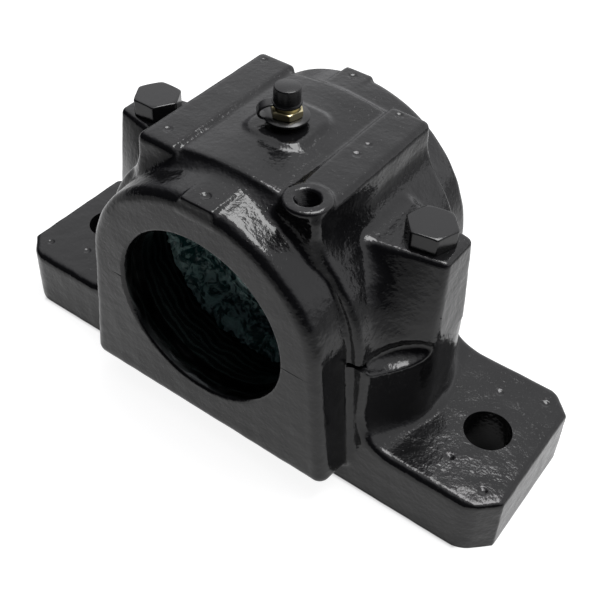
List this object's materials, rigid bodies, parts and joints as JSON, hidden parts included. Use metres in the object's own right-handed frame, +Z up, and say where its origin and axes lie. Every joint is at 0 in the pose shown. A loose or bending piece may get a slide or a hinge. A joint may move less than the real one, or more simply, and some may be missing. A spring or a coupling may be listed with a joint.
{
  "type": "pillow block bearing",
  "caption": "Split cast housing on two bolt-down feet, with a bolted cap and a self-aligning ball bearing for a 55 mm shaft.",
  "frame": {"origin": "middle of the underside of the base", "axes": "+X along the feet, +Y along the shaft away from the pictured opening, +Z up"},
  "size_m": [0.255, 0.11, 0.1478],
  "materials": {
    "black_paint": "gloss black paint over rough cast iron",
    "bolt_black": "black painted steel",
    "steel": "ground steel",
    "ring_steel": "machined steel under a green rust-preventive film",
    "bearing_steel": "polished bearing steel under green grease",
    "cage_steel": "pressed steel under green grease",
    "nipple_brass": "turned brass",
    "black_plastic": "matt soft black plastic"
  },
  "bodies": {
    "base": {"housing_base": "black_paint", "dowel_pin_rear": "steel", "dowel_pin_front": "steel", "locating_ring_front": "ring_steel", "locating_ring_rear": "ring_steel", "bearing_outer_ring": "bearing_steel"},
    "cap": {"housing_cap": "black_paint", "cap_bolt_left": "bolt_black", "cap_bolt_right": "bolt_black", "nipple_body": "nipple_brass", "dust_cap_strap": "black_plastic"},
    "inner_ring": {"bearing_inner_ring": "bearing_steel"},
    "cage": {"bearing_cage": "cage_steel", "ball_row_front": "bearing_steel", "ball_row_rear": "bearing_steel"},
    "dust_cap": {"dust_cap": "black_plastic"},
    "check_ball": {"nipple_ball": "bearing_steel", "nipple_spring": "steel"}
  },
  "joints": [
    {"name": "cap_lift", "type": "slide", "parent": "base", "child": "cap", "axis": [0, 0, 1], "range_m": [0, 0.08]},
    {"name": "inner_ring_turn", "type": "hinge", "parent": "base", "child": "inner_ring", "pos_m": [0, 0, 0.07], "axis": [0, 1, 0], "continuous": true},
    {"name": "cage_turn", "type": "hinge", "parent": "base", "child": "cage", "pos_m": [0, 0, 0.07], "axis": [0, 1, 0], "continuous": true},
    {"name": "dust_cap_pull", "type": "slide", "parent": "cap", "child": "dust_cap", "axis": [0, 0, 1], "range_m": [0, 0.012]},
    {"name": "check_ball_press", "type": "slide", "parent": "cap", "child": "check_ball", "axis": [0, 0, -1], "range_m": [0, 0.001], "stiffness_N_per_m": 200, "springref_m": -0.001, "deforming": ["nipple_spring"]}
  ],
  "couplings": [
    {"joint": "cage_turn", "follows": "inner_ring_turn", "ratio": 0.4322}
  ]
}
